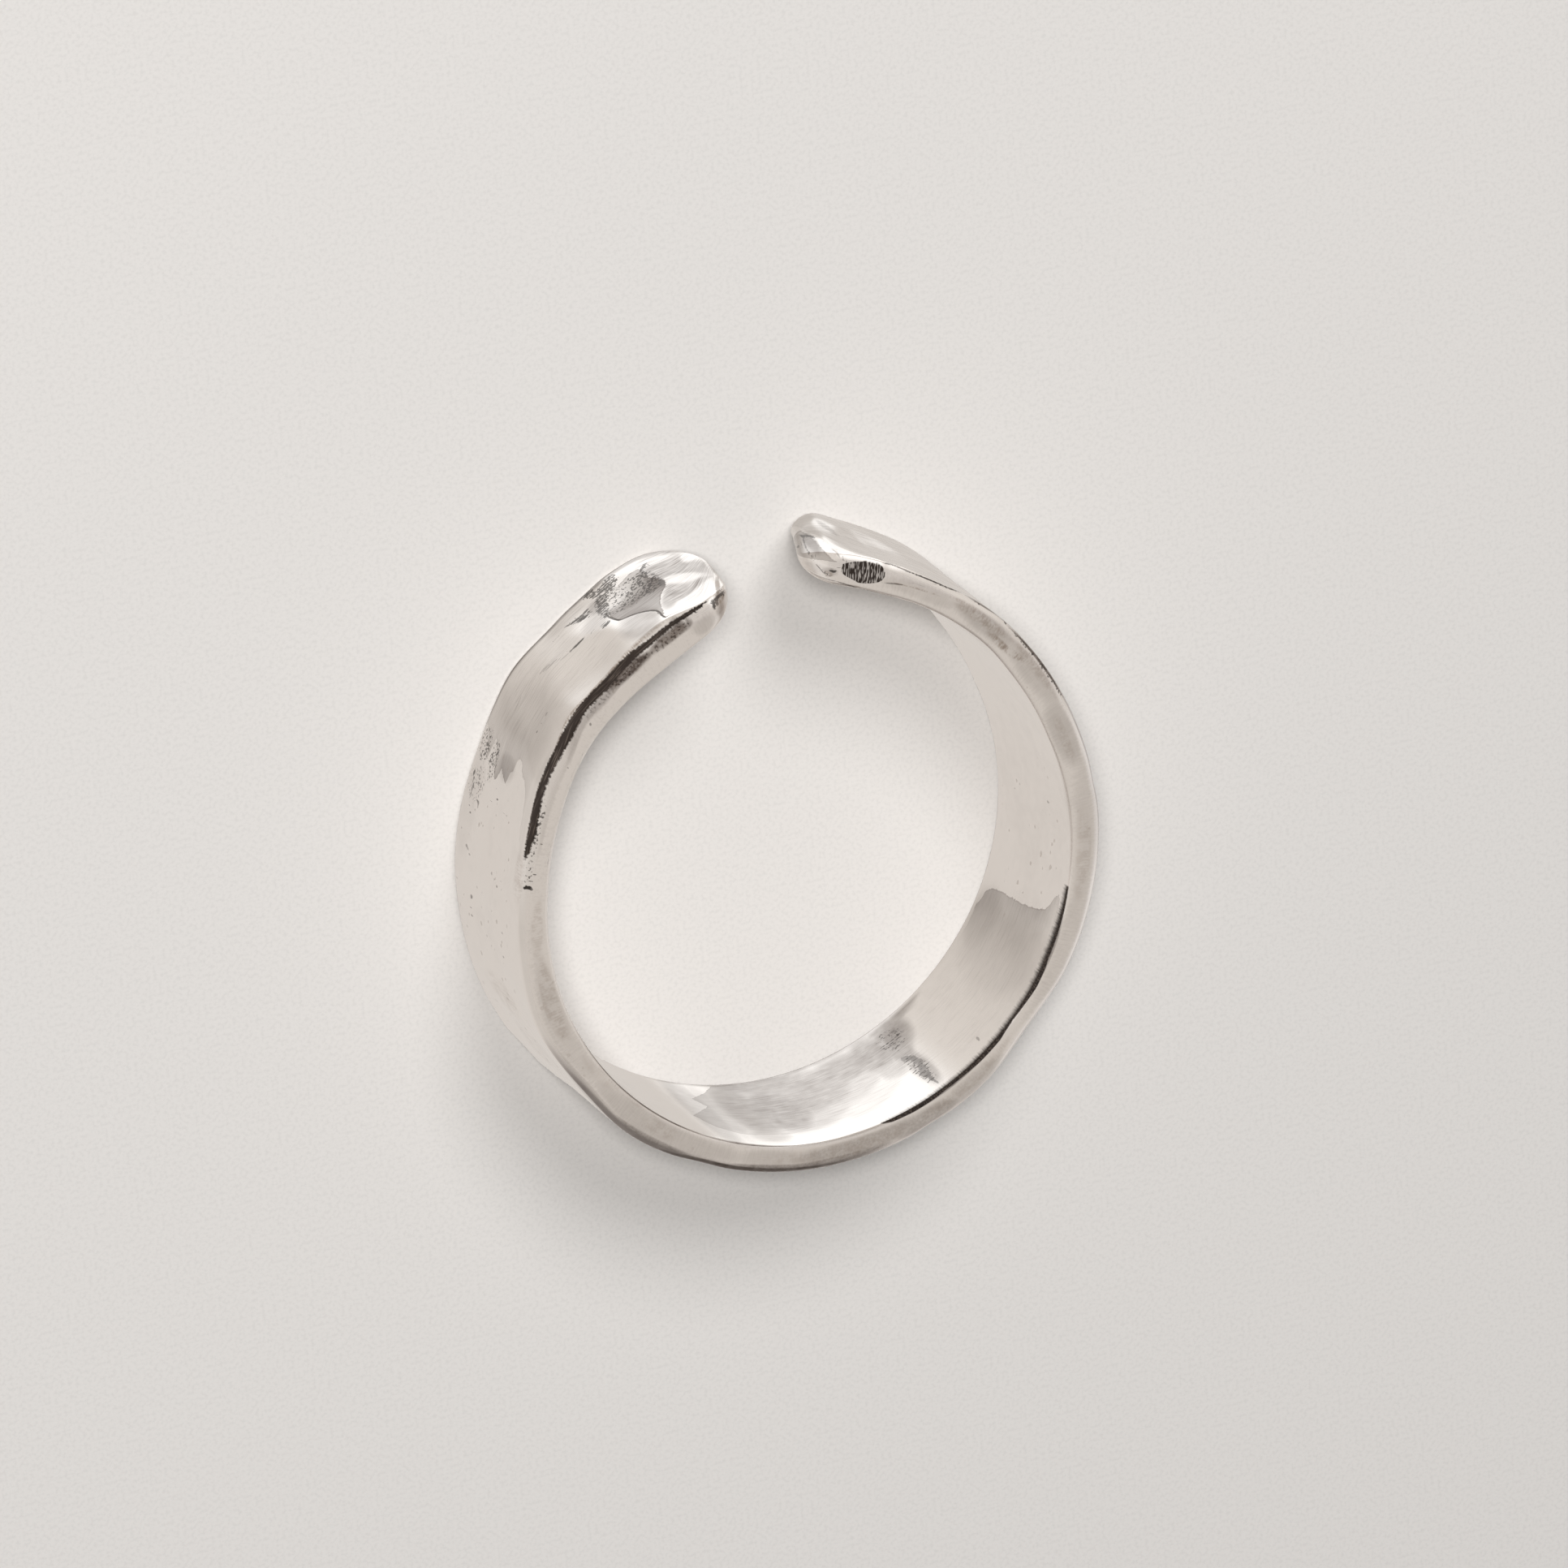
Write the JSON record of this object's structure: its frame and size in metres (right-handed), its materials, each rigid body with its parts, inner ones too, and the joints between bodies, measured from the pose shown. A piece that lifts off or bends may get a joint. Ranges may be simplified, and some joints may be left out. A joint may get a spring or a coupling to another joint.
{
  "type": "hammered ring",
  "caption": "Open finger ring: a hammered silver band bent round the finger, with a narrow slanted gap between two rounded ends.",
  "frame": {"origin": "on the axis of the finger hollow, in the plane of the back rim that the ring lies on", "axes": "+Z along the finger axis from the back rim up to the front rim, +Y from the axis towards the middle of the gap, +X towards the flared end"},
  "size_m": [0.0189, 0.0194, 0.0059],
  "materials": {
    "silver": "hammered and softly polished sterling silver, with satin rims, light tarnish and fine scratches"
  },
  "bodies": {
    "root": {"band": "silver"}
  },
  "joints": []
}
